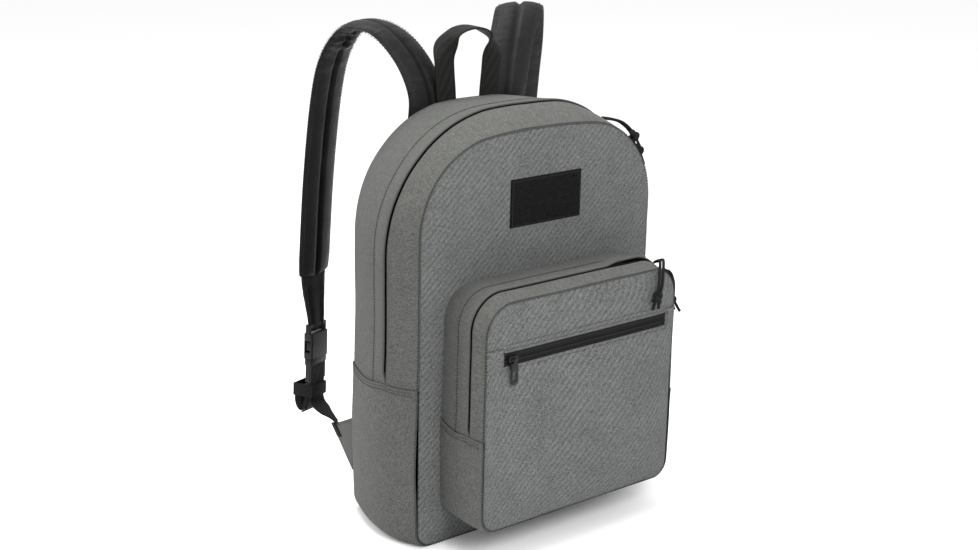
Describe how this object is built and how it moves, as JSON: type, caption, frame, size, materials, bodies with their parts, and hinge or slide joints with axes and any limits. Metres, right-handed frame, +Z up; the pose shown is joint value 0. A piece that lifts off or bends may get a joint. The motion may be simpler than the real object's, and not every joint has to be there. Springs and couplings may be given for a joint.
{
  "type": "daypack",
  "caption": "Upright fabric daypack: zipped main bag, zipped box pocket with a slip pocket, loop patch, grab handle and padded shoulder straps with side-release buckles.",
  "frame": {"origin": "middle of the base, on the surface that the pack stands on", "axes": "+Z up, -Y towards the front pocket, +Y towards the wearer's back, +X to the right seen from the front"},
  "size_m": [0.344, 0.3162, 0.5217],
  "materials": {
    "pack_cloth": "woven nylon, matte",
    "back_cloth": "woven mesh-backed cloth, matte",
    "foam": "closed-cell foam",
    "zipper": "coil and ribbed tape",
    "lining": "plain woven",
    "loop_pile": "fuzzy loop pile",
    "webbing": "flat woven webbing",
    "strap_cloth": "smooth woven nylon, soft sheen",
    "buckle_plastic": "moulded, satin",
    "elastic": "ribbed elastic",
    "slider_metal": "dark lacquered",
    "cord": "braided"
  },
  "bodies": {
    "pack": {"front_panel": "pack_cloth", "front_gusset": "pack_cloth", "rear_gusset": "pack_cloth", "lower_gusset": "pack_cloth", "main_zipper": "zipper", "back_panel": "back_cloth", "back_foam": "foam", "loop_patch": "loop_pile", "pocket_front_gusset": "pack_cloth", "pocket_rear_gusset": "pack_cloth", "pocket_lower_gusset": "pack_cloth", "pocket_zipper": "zipper", "pocket_upper_face": "pack_cloth", "pocket_lower_face": "pack_cloth", "slip_zipper": "zipper", "slip_pocket_lining": "lining", "left_wing_tab": "pack_cloth", "right_wing_tab": "pack_cloth", "left_tab_webbing": "webbing", "right_tab_webbing": "webbing"},
    "handle": {"grab_handle": "webbing"},
    "left_strap": {"left_shoulder_pad": "strap_cloth", "left_strap_end": "strap_cloth", "left_buckle_female": "buckle_plastic", "left_lower_webbing": "webbing"},
    "left_buckle": {"left_buckle_male": "buckle_plastic", "left_buckle_prongs": "buckle_plastic", "left_rolled_tail": "webbing", "left_elastic_keeper": "elastic"},
    "right_strap": {"right_shoulder_pad": "strap_cloth", "right_strap_end": "strap_cloth", "right_buckle_female": "buckle_plastic", "right_lower_webbing": "webbing"},
    "right_buckle": {"right_buckle_male": "buckle_plastic", "right_buckle_prongs": "buckle_plastic", "right_rolled_tail": "webbing", "right_elastic_keeper": "elastic"},
    "main_slider_1": {"main_slider_1": "slider_metal"},
    "main_pull_1": {"main_pull_1_cord": "cord", "main_pull_1_knot": "cord"},
    "main_slider_2": {"main_slider_2": "slider_metal"},
    "main_pull_2": {"main_pull_2_cord": "cord", "main_pull_2_knot": "cord"},
    "pocket_slider_1": {"pocket_slider_1": "slider_metal"},
    "pocket_pull_1": {"pocket_pull_1_cord": "cord", "pocket_pull_1_knot": "cord"},
    "pocket_slider_2": {"pocket_slider_2": "slider_metal"},
    "pocket_pull_2": {"pocket_pull_2_cord": "cord", "pocket_pull_2_knot": "cord"},
    "slip_slider": {"slip_slider": "slider_metal"},
    "slip_tab": {"slip_pull_tab": "slider_metal"}
  },
  "joints": [
    {"name": "handle_fold", "type": "hinge", "parent": "pack", "child": "handle", "pos_m": [0, 0.054, 0.4365], "axis": [1, 0, 0], "range_deg": [0, 60]},
    {"name": "left_strap_swing", "type": "hinge", "parent": "pack", "child": "left_strap", "pos_m": [-0.146, 0.094, 0.088], "axis": [-0.2537, 0.09, -0.9631], "range_deg": [-20, 0]},
    {"name": "left_buckle_release", "type": "slide", "parent": "left_strap", "child": "left_buckle", "axis": [-0.0669, -0.0595, -0.996], "range_m": [0, 0.03], "deforming": ["left_lower_webbing", "left_buckle_prongs"]},
    {"name": "right_strap_swing", "type": "hinge", "parent": "pack", "child": "right_strap", "pos_m": [0.146, 0.094, 0.088], "axis": [0.2537, 0.09, -0.9631], "range_deg": [0, 20]},
    {"name": "right_buckle_release", "type": "slide", "parent": "right_strap", "child": "right_buckle", "axis": [0.0669, -0.0595, -0.996], "range_m": [0, 0.03], "deforming": ["right_lower_webbing", "right_buckle_prongs"]},
    {"name": "main_slider_1_travel", "type": "hinge", "parent": "pack", "child": "main_slider_1", "pos_m": [0.031, -0.023, 0.30321], "axis": [0, 1, 0], "range_deg": [-32, 0]},
    {"name": "main_pull_1_swing", "type": "hinge", "parent": "main_slider_1", "child": "main_pull_1", "pos_m": [0.1187, -0.024, 0.4115], "axis": [0, 1, 0], "range_deg": [-60, 0]},
    {"name": "main_slider_2_travel", "type": "hinge", "parent": "pack", "child": "main_slider_2", "pos_m": [0.031, -0.023, 0.30321], "axis": [0, 1, 0], "range_deg": [0, 40]},
    {"name": "main_pull_2_swing", "type": "hinge", "parent": "main_slider_2", "child": "main_pull_2", "pos_m": [0.1329, -0.022, 0.3983], "axis": [0, 1, 0], "range_deg": [-60, 0]},
    {"name": "pocket_slider_1_travel", "type": "hinge", "parent": "pack", "child": "pocket_slider_1", "pos_m": [0.092, -0.113, 0.243], "axis": [0, 1, 0], "range_deg": [-20, 0]},
    {"name": "pocket_pull_1_swing", "type": "hinge", "parent": "pocket_slider_1", "child": "pocket_pull_1", "pos_m": [0.1207, -0.113, 0.2727], "axis": [1, 0, 0], "range_deg": [-60, 0]},
    {"name": "pocket_slider_2_travel", "type": "hinge", "parent": "pack", "child": "pocket_slider_2", "pos_m": [0.092, -0.113, 0.243], "axis": [0, 1, 0], "range_deg": [0, 24]},
    {"name": "pocket_pull_2_swing", "type": "hinge", "parent": "pocket_slider_2", "child": "pocket_pull_2", "pos_m": [0.1289, -0.113, 0.2594], "axis": [0, 1, 0], "range_deg": [-60, 0]},
    {"name": "slip_slider_travel", "type": "slide", "parent": "pack", "child": "slip_slider", "axis": [1, 0, 0], "range_m": [0, 0.19]},
    {"name": "slip_tab_swing", "type": "hinge", "parent": "slip_slider", "child": "slip_tab", "pos_m": [-0.097, -0.1449, 0.2185], "axis": [1, 0, 0], "range_deg": [-110, 0]}
  ],
  "couplings": [
    {"joint": "pocket_pull_2_swing", "follows": "pocket_slider_2_travel", "ratio": -1}
  ]
}
